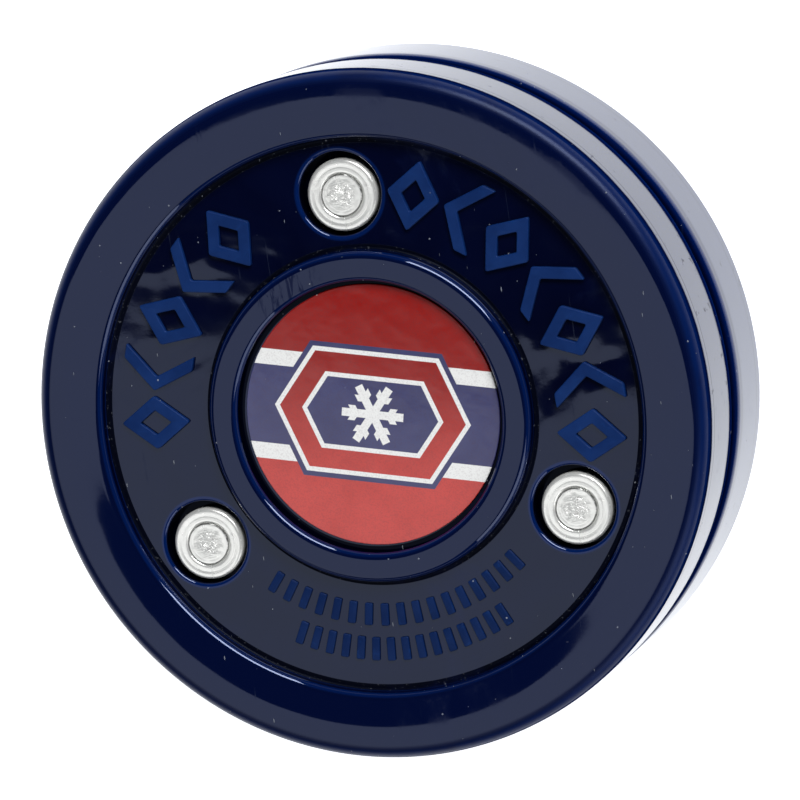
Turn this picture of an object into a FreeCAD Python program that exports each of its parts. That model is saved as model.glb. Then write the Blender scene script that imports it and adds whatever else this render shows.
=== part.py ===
"""Off-ice training puck: two moulded halves held loosely together by three riveted pins.

Units are millimetres.  The puck lies flat: +Z is up through the front face, the origin is the
centre of the underside, and the first rivet lies on +Y.  The two halves are the same moulding.
"""
import FreeCAD, Part
import os
import Sketcher
from FreeCAD import Placement, Rotation, Vector

DIMENSIONS = {
    # whole puck
    "puck_diameter": 76.2,
    "puck_thickness": 25.4,
    "parting_gap": 0.02,          # the two inner faces touch; this keeps the solids apart
    # one half
    "outer_edge_round": 1.8,
    "parting_edge_round": 1.4,
    "land_inner_radius": 32.9,    # the flat band that the puck rests on
    "land_outer_radius": 35.3,
    "crown_drop": 0.05,           # the rim falls away this much on both sides of the band
    "recess_radius": 30.7,
    "recess_depth": 2.0,
    "recess_lip_round": 0.8,
    "boss_radius": 18.3,
    "boss_drop": 0.3,
    "boss_edge_round": 0.8,
    "root_round": 0.4,
    "label_seat_radius": 15.0,
    "label_seat_depth": 1.4,
    # rivet bores
    "rivet_count": 3,
    "rivet_circle": 24.5,
    "rivet_pocket_radius": 4.6,
    "rivet_pocket_depth": 2.1,
    "rivet_pocket_chamfer": 0.35,
    "rivet_bore_radius": 3.2,
    "bore_chamfer": 0.2,
    "rivet_shift_x": 0.17,        # the loose rivets lie a little off their bores' centres
    "rivet_shift_y": -0.2,
    # rivets and their washers
    "shank_radius": 2.5,
    "tenon_radius": 2.1,
    "peen_radius": 2.3,
    "peen_crown": 0.1,
    "head_radius": 4.0,
    "head_thickness": 1.9,
    "head_edge_round": 0.45,
    "head_back_round": 0.15,
    "fit_gap": 0.01,
    "seat_gap": 0.02,
    "axial_play": 1.25,
    # printed labels
    "label_radius": 14.7,
    "label_thickness": 0.3,
    "label_edge_round": 0.1,
    # raised marks on the web of each half
    "mark_inner_radius": 20.9,
    "mark_outer_radius": 28.8,
    "mark_width": 6.0,
    "mark_stroke": 1.3,
    "mark_height": 0.5,
    "mark_pitch": 13.5,
    "long_arc_start": -10.6,
    "short_arc_start": 122.2,
    # small raised ribs at the foot of the web
    "rib_width": 0.9,
    "rib_height": 0.3,
    "inner_rib_bottom": 20.9,
    "inner_rib_top": 23.4,
    "inner_rib_pitch": 4.8,
    "inner_rib_count": 17,
    "outer_rib_bottom": 24.7,
    "outer_rib_top": 27.3,
    "outer_rib_pitch": 3.8,
    "outer_rib_count": 15,
}

HALF_THICKNESS = "(Dimensions.puck_thickness - Dimensions.parting_gap) / 2"
LIP_LEVEL = HALF_THICKNESS + " - Dimensions.crown_drop"
WEB_LEVEL = HALF_THICKNESS + " - Dimensions.recess_depth"
BOSS_LEVEL = HALF_THICKNESS + " - Dimensions.boss_drop"
LABEL_LEVEL = BOSS_LEVEL + " - Dimensions.label_seat_depth"
POCKET_FLOOR = WEB_LEVEL + " - Dimensions.rivet_pocket_depth"

FIRST_RIVET_ANGLE = 90.0
RIBS_CENTRE_ANGLE = 270.0
TOUCH = 0.001

doc = FreeCAD.newDocument("TrainingPuck")
sheet = doc.addObject("Spreadsheet::Sheet", "Dimensions")
for row, (alias, value) in enumerate(DIMENSIONS.items(), start=1):
    sheet.set("A%d" % row, alias.replace("_", " "))
    sheet.set("B%d" % row, "%g" % value)
    sheet.setAlias("B%d" % row, alias)
doc.recompute()


def size(alias):
    """The value of one cell of the sheet."""
    return float(getattr(sheet, alias))


def cell(alias):
    """The expression that reads one cell of the sheet."""
    return "Dimensions." + alias


def origin_plane(body, role):
    """One of the body's own origin planes or axes."""
    return next(item for item in body.Origin.OriginFeatures if item.Role == role)


def new_body(label):
    """An empty body whose label names its file."""
    body = doc.addObject("PartDesign::Body", label)
    body.Label = label
    return body


def new_sketch(body, name, plane="XY_Plane", level=None, turn=None):
    """A sketch on an origin plane, lifted to a level and turned about the plane's normal."""
    sketch = body.newObject("Sketcher::SketchObject", name)
    sketch.AttachmentSupport = [(origin_plane(body, plane), "")]
    sketch.MapMode = "FlatFace"
    if turn is not None:
        sketch.AttachmentOffset = Placement(Vector(), Rotation(Vector(0, 0, 1), 1.0))
        sketch.setExpression("AttachmentOffset.Rotation.Angle", turn)
    if level is not None:
        sketch.setExpression("AttachmentOffset.Base.z", level)
    return sketch


def bind(sketch, constraint, expression):
    """Add a dimension to a sketch and tie it to the sheet."""
    index = sketch.addConstraint(constraint)
    sketch.setExpression("Constraints[%d]" % index, expression)


def add_circle(sketch, radius, centre_height=None):
    """A circle about the sketch's origin, or on its vertical axis at a given height."""
    start_height = 0.0 if centre_height is None else size(centre_height)
    circle = Part.Circle(Vector(0, start_height, 0), Vector(0, 0, 1), size(radius))
    index = sketch.addGeometry(circle, False)
    if centre_height is None:
        sketch.addConstraint(Sketcher.Constraint("Coincident", index, 3, -1, 1))
    else:
        sketch.addConstraint(Sketcher.Constraint("PointOnObject", index, 3, -2))
        distance = Sketcher.Constraint("DistanceY", -1, 1, index, 3, start_height)
        bind(sketch, distance, cell(centre_height))
    bind(sketch, Sketcher.Constraint("Radius", index, size(radius)), cell(radius))


def evaluate(expression):
    """The number that an expression over the sheet's cells gives now."""
    return float(sheet.evalExpression(expression.replace("Dimensions.", "")))


def add_polygon(sketch, corners):
    """A closed outline whose corners are pairs of expressions over the sheet's cells."""
    points = [Vector(evaluate(across), evaluate(up), 0) for across, up in corners]
    lines = []
    for start, end in zip(points, points[1:] + points[:1]):
        lines.append(sketch.addGeometry(Part.LineSegment(start, end), False))
    for line, following in zip(lines, lines[1:] + lines[:1]):
        sketch.addConstraint(Sketcher.Constraint("Coincident", line, 2, following, 1))
    for line, point, (across, up) in zip(lines, points, corners):
        bind(sketch, Sketcher.Constraint("DistanceX", -1, 1, line, 1, point.x), across)
        bind(sketch, Sketcher.Constraint("DistanceY", -1, 1, line, 1, point.y), up)


def pad(body, name, sketch, length):
    """Add a sketch's outline upwards by a length."""
    feature = body.newObject("PartDesign::Pad", name)
    feature.Profile = sketch
    feature.setExpression("Length", length)
    return settle(body, feature)


def pocket(body, name, sketch, depth):
    """Cut a sketch's outline downwards by a depth, and make sure that it cuts."""
    volume_before = body.Shape.Volume
    feature = body.newObject("PartDesign::Pocket", name)
    feature.Profile = sketch
    feature.setExpression("Length", depth)
    settle(body, feature)
    if feature.Shape.Volume > volume_before - TOUCH:
        raise RuntimeError(name + " cuts nothing")
    return feature


def revolve(body, name, sketch):
    """Turn a sketch on the XZ plane a full circle about the body's Z axis."""
    feature = body.newObject("PartDesign::Revolution", name)
    feature.Profile = sketch
    feature.ReferenceAxis = (origin_plane(body, "Z_Axis"), [""])
    feature.Angle = 360.0
    return settle(body, feature)


def polar_pattern(body, name, originals, count, span):
    """Repeat features about the body's Z axis, evenly over a span of degrees."""
    feature = body.newObject("PartDesign::PolarPattern", name)
    feature.Originals = originals
    feature.Axis = (origin_plane(body, "Z_Axis"), [""])
    feature.setExpression("Occurrences", count)
    feature.setExpression("Angle", span)
    return settle(body, feature)


def settle(body, feature):
    """Make a feature the body's tip and recompute."""
    body.Tip = feature
    doc.recompute()
    return feature


def ring_edges(shape, radius, height, centre_distance=0.0):
    """Names of the full circular edges with a radius, a height and a distance from the axis."""
    names = []
    for number, edge in enumerate(shape.Edges, start=1):
        if not isinstance(edge.Curve, Part.Circle):
            continue
        centre = edge.Curve.Center
        offset = (centre.x ** 2 + centre.y ** 2) ** 0.5
        errors = (edge.Curve.Radius - radius, centre.z - height, offset - centre_distance)
        if max(abs(error) for error in errors) < TOUCH:
            names.append("Edge%d" % number)
    if not names:
        raise RuntimeError("no edge of radius %g at height %g" % (radius, height))
    return names


def round_edges(body, name, radius, *edge_places):
    """Fillet the circular edges at the given places by a radius from the sheet."""
    base = body.Tip
    names = [edge for place in edge_places for edge in ring_edges(base.Shape, *place)]
    feature = body.newObject("PartDesign::Fillet", name)
    feature.Base = (base, names)
    feature.setExpression("Radius", radius)
    return settle(body, feature)


def chamfer_edges(body, name, width, *edge_places):
    """Chamfer the circular edges at the given places by a width from the sheet."""
    base = body.Tip
    names = [edge for place in edge_places for edge in ring_edges(base.Shape, *place)]
    feature = body.newObject("PartDesign::Chamfer", name)
    feature.Base = (base, names)
    feature.setExpression("Size", width)
    return settle(body, feature)


def add_disc(body):
    """The plain disc of one half, its inner face at height 0, with a flat band on its crown."""
    rim = cell("puck_diameter") + " / 2"
    profile = new_sketch(body, "DiscProfile", plane="XZ_Plane")
    add_polygon(profile, [
        ("0", "0"),
        (rim, "0"),
        (rim, LIP_LEVEL),
        (cell("land_outer_radius"), HALF_THICKNESS),
        (cell("land_inner_radius"), HALF_THICKNESS),
        (cell("recess_radius"), LIP_LEVEL),
        ("0", LIP_LEVEL),
    ])
    revolve(body, "Disc", profile)


def cut_face(body):
    """The ring-shaped recess, the lowered boss inside it and the seat of the label."""
    recess = new_sketch(body, "RecessSketch", level=HALF_THICKNESS)
    add_circle(recess, "recess_radius")
    add_circle(recess, "boss_radius")
    pocket(body, "Recess", recess, cell("recess_depth"))
    boss_top = new_sketch(body, "BossTopSketch", level=HALF_THICKNESS)
    add_circle(boss_top, "boss_radius")
    pocket(body, "BossTop", boss_top, cell("boss_drop"))
    label_seat = new_sketch(body, "LabelSeatSketch", level=BOSS_LEVEL)
    add_circle(label_seat, "label_seat_radius")
    pocket(body, "LabelSeat", label_seat, cell("label_seat_depth"))


def cut_rivet_bores(body):
    """A pocket for the rivet's head and a loose bore for its shank, three times round."""
    head_sketch = new_sketch(body, "RivetPocketSketch", level=WEB_LEVEL)
    add_circle(head_sketch, "rivet_pocket_radius", centre_height="rivet_circle")
    head_pocket = pocket(body, "RivetPocket", head_sketch, cell("rivet_pocket_depth"))
    bore_sketch = new_sketch(body, "RivetBoreSketch", level=WEB_LEVEL)
    add_circle(bore_sketch, "rivet_bore_radius", centre_height="rivet_circle")
    bore = pocket(body, "RivetBore", bore_sketch, HALF_THICKNESS)
    polar_pattern(body, "RivetBores", [head_pocket, bore], cell("rivet_count"), "360")


def soften_half(body):
    """The rounded and chamfered edges of one half."""
    lip = evaluate(LIP_LEVEL)
    web = evaluate(WEB_LEVEL)
    boss_top = evaluate(BOSS_LEVEL)
    rim = size("puck_diameter") / 2
    round_edges(body, "OuterEdgeRound", cell("outer_edge_round"),
                (rim, lip))
    round_edges(body, "PartingEdgeRound", cell("parting_edge_round"), (rim, 0.0))
    round_edges(body, "RecessLipRound", cell("recess_lip_round"),
                (size("recess_radius"), lip))
    round_edges(body, "BossEdgeRound", cell("boss_edge_round"),
                (size("boss_radius"), boss_top),
                (size("label_seat_radius"), boss_top))
    round_edges(body, "RootRound", cell("root_round"),
                (size("recess_radius"), web),
                (size("boss_radius"), web))
    chamfer_edges(body, "RivetPocketChamfer", cell("rivet_pocket_chamfer"),
                  (size("rivet_pocket_radius"), web, size("rivet_circle")))
    chamfer_edges(body, "BoreChamfer", cell("bore_chamfer"),
                  (size("rivet_bore_radius"), evaluate(POCKET_FLOOR), size("rivet_circle")),
                  (size("rivet_bore_radius"), 0.0, size("rivet_circle")))


def diamond_outline(sketch):
    """An open diamond whose band has the same width all round."""
    middle = "(Dimensions.mark_inner_radius + Dimensions.mark_outer_radius) / 2"
    half_width = cell("mark_width") + " / 2"
    half_height = "(Dimensions.mark_outer_radius - Dimensions.mark_inner_radius) / 2"
    width_inset = "%s * sqrt(1 + ((%s) / (%s))^2)" % (cell("mark_stroke"), half_width, half_height)
    height_inset = "%s * sqrt(1 + ((%s) / (%s))^2)" % (cell("mark_stroke"), half_height, half_width)
    for inset_across, inset_up in (("0", "0"), (width_inset, height_inset)):
        across = "(%s - %s)" % (half_width, inset_across)
        up = "(%s - %s)" % (half_height, inset_up)
        add_polygon(sketch, [
            ("0", "%s - %s" % (middle, up)),
            (across, middle),
            ("0", "%s + %s" % (middle, up)),
            ("-" + across, middle),
        ])


def chevron_outline(sketch):
    """A chevron that points round the puck, with a band of even width."""
    low = cell("mark_inner_radius")
    high = cell("mark_outer_radius")
    middle = "(%s + %s) / 2" % (low, high)
    reach = "(Dimensions.mark_width * 0.25)"
    band = "(Dimensions.mark_stroke * 1.25)"
    add_polygon(sketch, [
        ("%s + %s / 2" % (reach, band), low),
        ("%s / 2 - %s" % (band, reach), middle),
        ("%s + %s / 2" % (reach, band), high),
        ("%s - %s / 2" % (reach, band), high),
        ("-%s - %s / 2" % (reach, band), middle),
        ("%s - %s / 2" % (reach, band), low),
    ])


def add_mark_row(body, name, draw, first_angle, count):
    """A row of raised marks on the web, one every second step of the mark pitch."""
    turn = "%s - %g" % (first_angle, FIRST_RIVET_ANGLE)
    sketch = new_sketch(body, name + "Sketch", level=WEB_LEVEL, turn=turn)
    draw(sketch)
    mark = pad(body, name, sketch, cell("mark_height"))
    span = "%d * 2 * %s" % (count - 1, cell("mark_pitch"))
    polar_pattern(body, name + "Row", [mark], "%d" % count, span)


def add_marks(body):
    """Open diamonds and chevrons by turns: seven on the long arc and five on the short one."""
    long_start = cell("long_arc_start")
    short_start = cell("short_arc_start")
    next_place = " + " + cell("mark_pitch")
    add_mark_row(body, "LongArcDiamonds", diamond_outline, long_start, 4)
    add_mark_row(body, "LongArcChevrons", chevron_outline, long_start + next_place, 3)
    add_mark_row(body, "ShortArcDiamonds", diamond_outline, short_start, 3)
    add_mark_row(body, "ShortArcChevrons", chevron_outline, short_start + next_place, 2)


def add_rib_row(body, name, bottom, top, pitch, count):
    """A row of short raised ribs, centred at the foot of the web."""
    span = "(%s - 1) * %s" % (cell(count), cell(pitch))
    turn = "%g - %s / 2" % (RIBS_CENTRE_ANGLE - FIRST_RIVET_ANGLE, span)
    half_width = cell("rib_width") + " / 2"
    sketch = new_sketch(body, name + "Sketch", level=WEB_LEVEL, turn=turn)
    add_polygon(sketch, [
        ("-" + half_width, cell(bottom)),
        (half_width, cell(bottom)),
        (half_width, cell(top)),
        ("-" + half_width, cell(top)),
    ])
    rib = pad(body, name, sketch, cell("rib_height"))
    polar_pattern(body, name + "Row", [rib], cell(count), span)


def make_half(label, facing_down):
    """One moulded half with its recess, boss, bores and raised marks."""
    body = new_body(label)
    add_disc(body)
    cut_face(body)
    cut_rivet_bores(body)
    soften_half(body)
    add_marks(body)
    add_rib_row(body, "InnerRib", "inner_rib_bottom", "inner_rib_top",
                "inner_rib_pitch", "inner_rib_count")
    add_rib_row(body, "OuterRib", "outer_rib_bottom", "outer_rib_top",
                "outer_rib_pitch", "outer_rib_count")
    place_on_half(body, facing_down)


def make_label(label, facing_down):
    """The thin printed disc on the floor of one half's boss."""
    body = new_body(label)
    sketch = new_sketch(body, "LabelSketch", level=LABEL_LEVEL)
    add_circle(sketch, "label_radius")
    pad(body, "Disc", sketch, cell("label_thickness"))
    top = evaluate(LABEL_LEVEL) + size("label_thickness")
    round_edges(body, "EdgeRound", cell("label_edge_round"), (size("label_radius"), top))
    place_on_half(body, facing_down)


def place_on_half(body, facing_down):
    """Stand a piece of one half in the puck: the front half faces up, the rear half down."""
    if facing_down:
        body.Placement = Placement(Vector(), Rotation(Vector(0, 1, 0), 180.0))
        body.setExpression("Placement.Base.z", HALF_THICKNESS)
    else:
        body.setExpression("Placement.Base.z",
                           HALF_THICKNESS + " + " + cell("parting_gap"))


WASHER_SEAT = ("Dimensions.puck_thickness - Dimensions.recess_depth"
               " - Dimensions.rivet_pocket_depth + Dimensions.seat_gap")
WASHER_TOP = WASHER_SEAT + " + Dimensions.head_thickness"
HEAD_SEAT = "Dimensions.recess_depth + Dimensions.rivet_pocket_depth - Dimensions.axial_play"
HEAD_BOTTOM = HEAD_SEAT + " - Dimensions.head_thickness"
PEEN_DEPTH = "(Dimensions.peen_radius - Dimensions.tenon_radius)"


def place_on_rivet_circle(body, number):
    """Stand a rivet or washer on the rivet circle, the first one towards +Y, and shift it."""
    angle = "(%g + %d * 360 / %s) * 1 deg" % (FIRST_RIVET_ANGLE, number - 1, cell("rivet_count"))
    across = "%s * cos(%s) + %s" % (cell("rivet_circle"), angle, cell("rivet_shift_x"))
    up = "%s * sin(%s) + %s" % (cell("rivet_circle"), angle, cell("rivet_shift_y"))
    body.setExpression("Placement.Base.x", across)
    body.setExpression("Placement.Base.y", up)


def make_rivet(number):
    """A pin with a flat head below, a shoulder above and a tenon peened over its washer."""
    body = new_body("rivet_%d" % number)
    profile = new_sketch(body, "Profile", plane="XZ_Plane")
    add_polygon(profile, [
        ("0", HEAD_BOTTOM),
        (cell("head_radius"), HEAD_BOTTOM),
        (cell("head_radius"), HEAD_SEAT),
        (cell("shank_radius"), HEAD_SEAT),
        (cell("shank_radius"), WASHER_SEAT),
        (cell("tenon_radius"), WASHER_SEAT),
        (cell("tenon_radius"), "%s - %s" % (WASHER_TOP, PEEN_DEPTH)),
        (cell("peen_radius"), WASHER_TOP),
        (cell("tenon_radius"), "%s + %s" % (WASHER_TOP, cell("peen_crown"))),
        ("0", "%s + %s" % (WASHER_TOP, cell("peen_crown"))),
    ])
    revolve(body, "Turned", profile)
    round_edges(body, "HeadEdgeRound", cell("head_edge_round"),
                (size("head_radius"), evaluate(HEAD_BOTTOM)))
    round_edges(body, "HeadBackRound", cell("head_back_round"),
                (size("head_radius"), evaluate(HEAD_SEAT)))
    place_on_rivet_circle(body, number)


def make_washer(number):
    """The washer that a rivet's tenon is peened over, countersunk to hold the peened end."""
    body = new_body("washer_%d" % number)
    bore = "%s + %s" % (cell("tenon_radius"), cell("fit_gap"))
    countersink = "%s + %s" % (cell("peen_radius"), cell("fit_gap"))
    profile = new_sketch(body, "Profile", plane="XZ_Plane")
    add_polygon(profile, [
        (bore, WASHER_SEAT),
        (cell("head_radius"), WASHER_SEAT),
        (cell("head_radius"), WASHER_TOP),
        (countersink, WASHER_TOP),
        (bore, "%s - %s" % (WASHER_TOP, PEEN_DEPTH)),
    ])
    revolve(body, "Turned", profile)
    round_edges(body, "HeadEdgeRound", cell("head_edge_round"),
                (size("head_radius"), evaluate(WASHER_TOP)))
    round_edges(body, "HeadBackRound", cell("head_back_round"),
                (size("head_radius"), evaluate(WASHER_SEAT)))
    place_on_rivet_circle(body, number)


def check_document():
    """Stop if any object failed or any body has no valid solid."""
    doc.recompute()
    for item in doc.Objects:
        if "Invalid" in item.State or "Error" in item.State:
            raise RuntimeError("%s failed: %s" % (item.Name, item.State))
    for body in doc.findObjects("PartDesign::Body"):
        if body.Shape.isNull() or not body.Shape.isValid() or len(body.Shape.Solids) != 1:
            raise RuntimeError("%s is not one valid solid" % body.Label)


def write_parts():
    """Write one STEP file for each body, named by its label."""
    os.makedirs("parts", exist_ok=True)
    for body in doc.findObjects("PartDesign::Body"):
        body.Shape.exportStep("parts/%s.step" % body.Label)


make_half("rear_half", facing_down=True)
make_label("rear_label", facing_down=True)
make_half("front_half", facing_down=False)
make_label("front_label", facing_down=False)
for rivet_number in range(1, DIMENSIONS["rivet_count"] + 1):
    make_rivet(rivet_number)
    make_washer(rivet_number)
check_document()
write_parts()
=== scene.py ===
"""Looks for the two-piece training puck: fine geometry, materials, studio and camera.

Everything is in metres in the CAD frame: the puck lies on Z = 0 with its front face up, and the
first rivet is towards +Y.  The rear half is the front half's twin, turned over about Y.
"""
import math
import bmesh
import bpy
from mathutils import Matrix, Vector, noise


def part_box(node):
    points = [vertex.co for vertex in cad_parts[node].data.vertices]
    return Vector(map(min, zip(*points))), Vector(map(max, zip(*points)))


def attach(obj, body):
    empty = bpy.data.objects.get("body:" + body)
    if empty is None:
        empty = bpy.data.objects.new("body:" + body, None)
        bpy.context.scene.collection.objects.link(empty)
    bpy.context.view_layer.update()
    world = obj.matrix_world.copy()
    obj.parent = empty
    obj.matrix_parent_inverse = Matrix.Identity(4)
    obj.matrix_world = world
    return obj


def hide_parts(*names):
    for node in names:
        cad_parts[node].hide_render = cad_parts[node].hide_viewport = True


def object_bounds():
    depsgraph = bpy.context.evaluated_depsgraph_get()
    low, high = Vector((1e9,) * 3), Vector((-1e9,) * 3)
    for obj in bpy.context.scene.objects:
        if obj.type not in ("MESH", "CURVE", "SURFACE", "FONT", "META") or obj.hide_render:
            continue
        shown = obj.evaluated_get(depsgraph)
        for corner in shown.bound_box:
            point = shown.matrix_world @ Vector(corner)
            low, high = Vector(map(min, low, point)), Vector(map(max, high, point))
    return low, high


MM = 0.001

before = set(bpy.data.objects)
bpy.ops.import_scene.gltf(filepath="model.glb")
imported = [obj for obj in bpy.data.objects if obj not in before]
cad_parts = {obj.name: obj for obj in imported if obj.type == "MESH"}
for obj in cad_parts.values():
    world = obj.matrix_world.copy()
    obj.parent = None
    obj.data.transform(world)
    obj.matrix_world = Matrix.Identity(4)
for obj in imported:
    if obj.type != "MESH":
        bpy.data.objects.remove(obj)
cad_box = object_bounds()


# ---------------------------------------------------------------- sizes
half_low, half_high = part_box("front_half")
RIM = half_high.x
PUCK_TOP = half_high.z
HALF_THICKNESS = half_high.z - half_low.z
PUCK_CENTRE_HEIGHT = (cad_box[0].z + cad_box[1].z) / 2

OUTER_EDGE_ROUND = 1.8 * MM
PARTING_EDGE_ROUND = 2.2 * MM
CREST_RADIUS = 35.3 * MM             # the highest circle on the rim's shallow arch
CREST_CURVE = 90 * MM                 # the arch's radius outside the crest
CREST_REACH = 1.2 * MM                # how fast the arch steepens inside it
CREST_SLOPE = math.tan(math.radians(6.0))
RECESS_RADIUS = 30.7 * MM
RECESS_DEPTH = 2.0 * MM
LIP_ROUND = 0.8 * MM
ROOT_ROUND = 0.4 * MM
BOSS_RADIUS = 18.3 * MM
BOSS_DROP = 0.3 * MM
BOSS_ROUND = 0.8 * MM
SEAT_RADIUS = 15.0 * MM
SEAT_DEPTH = 1.4 * MM
RIVET_CIRCLE = 24.5 * MM
POCKET_RADIUS = 4.6 * MM
POCKET_DEPTH = 2.1 * MM
POCKET_LIP = 0.45 * MM
BORE_RADIUS = 3.2 * MM
BORE_CHAMFER = 0.2 * MM

WEB_LEVEL = HALF_THICKNESS - RECESS_DEPTH
BOSS_LEVEL = HALF_THICKNESS - BOSS_DROP
SEAT_LEVEL = BOSS_LEVEL - SEAT_DEPTH
POCKET_LEVEL = WEB_LEVEL - POCKET_DEPTH

MARK_INNER = 20.9 * MM
MARK_OUTER = 28.8 * MM
MARK_WIDTH = 6.0 * MM
MARK_STROKE = 1.3 * MM
MARK_HEIGHT = 0.5 * MM
MARK_PITCH = 13.5
LONG_ARC_START = -10.6
LONG_ARC_COUNT = 7
SHORT_ARC_START = 122.2
SHORT_ARC_COUNT = 5
RIB_WIDTH = 0.9 * MM
RIB_HEIGHT = 0.3 * MM
RIB_ROWS = (                          # inner and outer radius, step in degrees, count
    (20.9 * MM, 23.4 * MM, 4.8, 17),
    (24.7 * MM, 27.3 * MM, 3.8, 15),
)
RIB_MIDDLE = 270.0
SINK = 0.2 * MM                       # how far the raised marks reach into the web

SPIN_STEPS = 288
ARC_STEPS = 10


# ---------------------------------------------------------------- mesh helpers
def link(obj):
    """Put an object in the scene."""
    bpy.context.scene.collection.objects.link(obj)
    return obj


def arc(centre, height, radius, start, end, steps=ARC_STEPS):
    """Points (radius, height) along an arc in the half-plane, angles in degrees from outwards."""
    points = []
    for step in range(steps + 1):
        angle = math.radians(start + (end - start) * step / steps)
        points.append((centre + radius * math.cos(angle), height + radius * math.sin(angle)))
    return points


def spin(profile, steps=SPIN_STEPS, centre=(0.0, 0.0)):
    """A closed bmesh from a profile that starts and ends on the axis."""
    bm = bmesh.new()
    rings = []
    for radius, height in profile:
        if radius < 1e-9:
            rings.append([bm.verts.new((centre[0], centre[1], height))])
            continue
        ring = []
        for step in range(steps):
            angle = 2 * math.pi * step / steps
            ring.append(bm.verts.new((centre[0] + radius * math.cos(angle),
                                      centre[1] + radius * math.sin(angle), height)))
        rings.append(ring)
    for low, high in zip(rings, rings[1:]):
        for step in range(steps):
            after = (step + 1) % steps
            if len(low) == 1:
                bm.faces.new((low[0], high[after], high[step]))
            elif len(high) == 1:
                bm.faces.new((low[step], low[after], high[0]))
            else:
                bm.faces.new((low[step], low[after], high[after], high[step]))
    bmesh.ops.recalc_face_normals(bm, faces=bm.faces)
    return bm


def to_object(bm, name, sharp_angle=35.0):
    """A smooth-shaded object, sharp only where faces meet at more than an angle."""
    mesh = bpy.data.meshes.new(name)
    bm.to_mesh(mesh)
    bm.free()
    obj = link(bpy.data.objects.new(name, mesh))
    shade(mesh, sharp_angle)
    return obj


def shade(mesh, sharp_angle=35.0):
    """Smooth shading with sharp edges above an angle."""
    mesh.polygons.foreach_set("use_smooth", [True] * len(mesh.polygons))
    mesh.set_sharp_from_angle(angle=math.radians(sharp_angle))


def apply_modifiers(obj):
    """Replace an object's mesh by what its modifiers make of it."""
    graph = bpy.context.evaluated_depsgraph_get()
    made = bpy.data.meshes.new_from_object(obj.evaluated_get(graph))
    obj.modifiers.clear()
    obj.data = made


def even_normals(obj):
    """Let large flat faces keep their own normals where they meet small rounds."""
    modifier = obj.modifiers.new("even_normals", "WEIGHTED_NORMAL")
    modifier.keep_sharp = True
    modifier.weight = 100


def place_on_puck(obj, facing_down):
    """Move a piece from its half's own frame, inner face at height 0, into the puck."""
    if facing_down:
        turned = Matrix.Rotation(math.pi, 4, "Y")
        move = Matrix.Translation((0, 0, cad_box[0].z + HALF_THICKNESS)) @ turned
    else:
        move = Matrix.Translation((0, 0, PUCK_TOP - HALF_THICKNESS))
    obj.data.transform(move)
    obj.data.update()


# ---------------------------------------------------------------- the moulded halves
def crown_height(radius):
    """How high the rim's arched top stands at a radius."""
    past = radius - CREST_RADIUS
    if past > 0:
        return HALF_THICKNESS - past ** 2 / (2 * CREST_CURVE)
    return HALF_THICKNESS - CREST_SLOPE * CREST_REACH * math.log(math.cosh(past / CREST_REACH))


def crown_slope(radius):
    """The tilt of the rim's top at a radius, in degrees, falling outwards."""
    past = radius - CREST_RADIUS
    if past > 0:
        return math.degrees(math.atan(past / CREST_CURVE))
    return math.degrees(math.atan(CREST_SLOPE * math.tanh(past / CREST_REACH)))


def half_profile():
    """The turned outline of one half, from the middle of its inner face round to the label seat."""
    crown_out = RIM - OUTER_EDGE_ROUND
    crown_in = RECESS_RADIUS + LIP_ROUND
    out_level = crown_height(crown_out) - OUTER_EDGE_ROUND
    in_level = crown_height(crown_in) - LIP_ROUND
    points = [(0.0, 0.0)]
    points += arc(RIM - PARTING_EDGE_ROUND, PARTING_EDGE_ROUND, PARTING_EDGE_ROUND, -90, 0)
    points += arc(crown_out, out_level, OUTER_EDGE_ROUND, 0, 90 - crown_slope(crown_out))
    for step in range(1, 20):
        radius = crown_out + (crown_in - crown_out) * step / 20
        points.append((radius, crown_height(radius)))
    points += arc(crown_in, in_level, LIP_ROUND, 90 - crown_slope(crown_in), 180)
    points += arc(RECESS_RADIUS - ROOT_ROUND, WEB_LEVEL + ROOT_ROUND, ROOT_ROUND, 0, -90, 5)
    points += arc(BOSS_RADIUS + ROOT_ROUND, WEB_LEVEL + ROOT_ROUND, ROOT_ROUND, 270, 180, 5)
    points += arc(BOSS_RADIUS - BOSS_ROUND, BOSS_LEVEL - BOSS_ROUND, BOSS_ROUND, 0, 90)
    points += arc(SEAT_RADIUS + BOSS_ROUND, BOSS_LEVEL - BOSS_ROUND, BOSS_ROUND, 90, 180)
    points += [(SEAT_RADIUS, SEAT_LEVEL), (0.0, SEAT_LEVEL)]
    return points


def bore_cutter(number):
    """The space of one rivet: a bore with a countersunk foot and a pocket with a rounded lip."""
    below, above = -1 * MM, 1 * MM
    wide = POCKET_RADIUS + POCKET_LIP
    points = [
        (0.0, below),
        (BORE_RADIUS + BORE_CHAMFER, below),
        (BORE_RADIUS + BORE_CHAMFER, 0.0),
        (BORE_RADIUS, BORE_CHAMFER),
        (BORE_RADIUS, POCKET_LEVEL - BORE_CHAMFER),
        (BORE_RADIUS + BORE_CHAMFER, POCKET_LEVEL),
        (POCKET_RADIUS, POCKET_LEVEL),
    ]
    points += arc(wide, WEB_LEVEL - POCKET_LIP, POCKET_LIP, 180, 100, 5)
    points += [(wide, WEB_LEVEL + above), (0.0, WEB_LEVEL + above)]
    angle = math.radians(90 + 120 * number)
    centre = (RIVET_CIRCLE * math.cos(angle), RIVET_CIRCLE * math.sin(angle))
    return to_object(spin(points, 96, centre), "cutter")


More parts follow.
